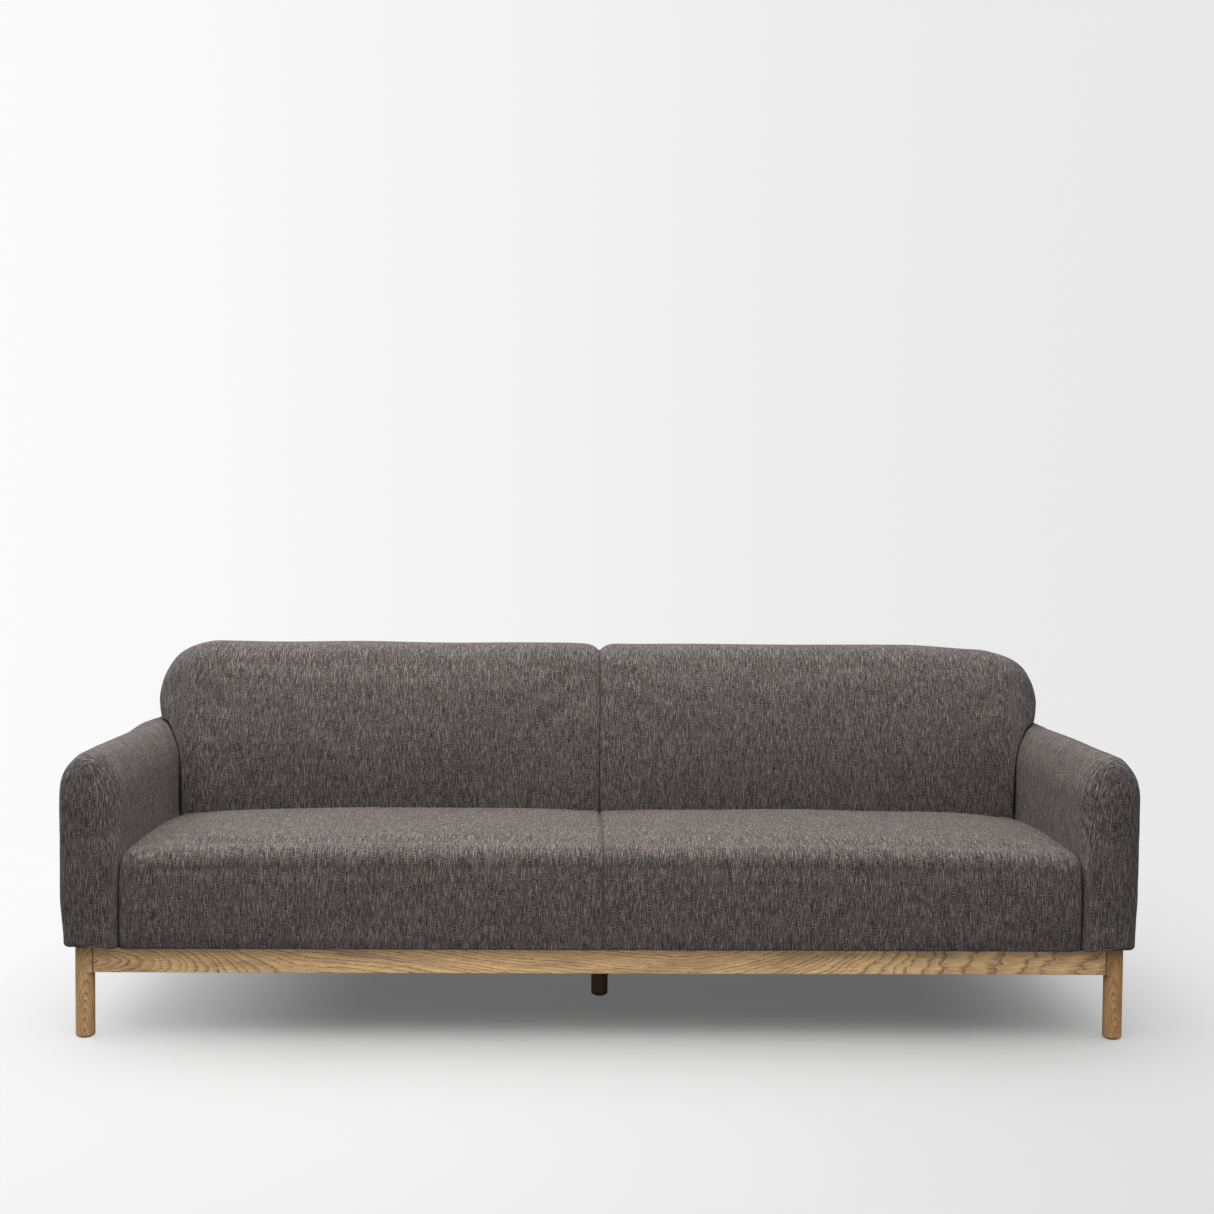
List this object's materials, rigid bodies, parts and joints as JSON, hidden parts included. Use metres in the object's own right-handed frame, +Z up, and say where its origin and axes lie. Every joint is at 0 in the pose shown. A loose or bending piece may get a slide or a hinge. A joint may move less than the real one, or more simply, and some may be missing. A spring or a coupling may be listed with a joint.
{
  "type": "sofa",
  "caption": "Long upholstered sofa with a tight crowned seat, a split back that laps over slab arms, and a stained ash base on round turned legs.",
  "frame": {"origin": "on the floor under the middle of the sofa's outline", "axes": "+X along the seat, to the right as seen from the front; +Y from the front to the back; +Z up"},
  "size_m": [2.26, 0.82, 0.79],
  "materials": {
    "upholstery": "matte",
    "stained_ash": "satin",
    "frame_wood": "matte",
    "foam": "matte",
    "webbing": "matte",
    "felt": "matte",
    "dust_cloth": "matte",
    "glide_plastic": "satin",
    "zinc_steel": "satin"
  },
  "bodies": {
    "root": {"arm_bolts": "zinc_steel", "arm_bottom_rail_left": "frame_wood", "arm_bottom_rail_right": "frame_wood", "arm_cover_left": "upholstery", "arm_cover_right": "upholstery", "arm_foam_left": "foam", "arm_foam_right": "foam", "arm_front_post_left": "frame_wood", "arm_front_post_right": "frame_wood", "arm_rear_post_left": "frame_wood", "arm_rear_post_right": "frame_wood", "arm_top_rail_left": "frame_wood", "arm_top_rail_right": "frame_wood", "back_bottom_rail": "frame_wood", "back_cover_left": "upholstery", "back_cover_right": "upholstery", "back_foam_left": "foam", "back_foam_right": "foam", "back_left_post": "frame_wood", "back_mid_post": "frame_wood", "back_right_post": "frame_wood", "back_top_rail": "frame_wood", "back_webbing": "webbing", "body_bolts": "zinc_steel", "centre_beam": "frame_wood", "centre_leg": "stained_ash", "centre_leg_stud": "zinc_steel", "corner_blocks": "frame_wood", "dust_cloth": "dust_cloth", "front_left_leg": "stained_ash", "front_rail": "stained_ash", "front_right_leg": "stained_ash", "hanger_bolts": "zinc_steel", "hanger_nuts": "zinc_steel", "hanger_washers": "zinc_steel", "left_side_rail": "stained_ash", "leg_glides": "glide_plastic", "outside_back_panel": "upholstery", "rear_left_leg": "stained_ash", "rear_rail": "stained_ash", "rear_right_leg": "stained_ash", "right_side_rail": "stained_ash", "seat_cover": "upholstery", "seat_cross_webbing": "webbing", "seat_foam": "foam", "seat_front_board": "frame_wood", "seat_left_board": "frame_wood", "seat_mid_board": "frame_wood", "seat_pad": "felt", "seat_rear_board": "frame_wood", "seat_right_board": "frame_wood", "seat_webbing": "webbing"}
  },
  "joints": []
}
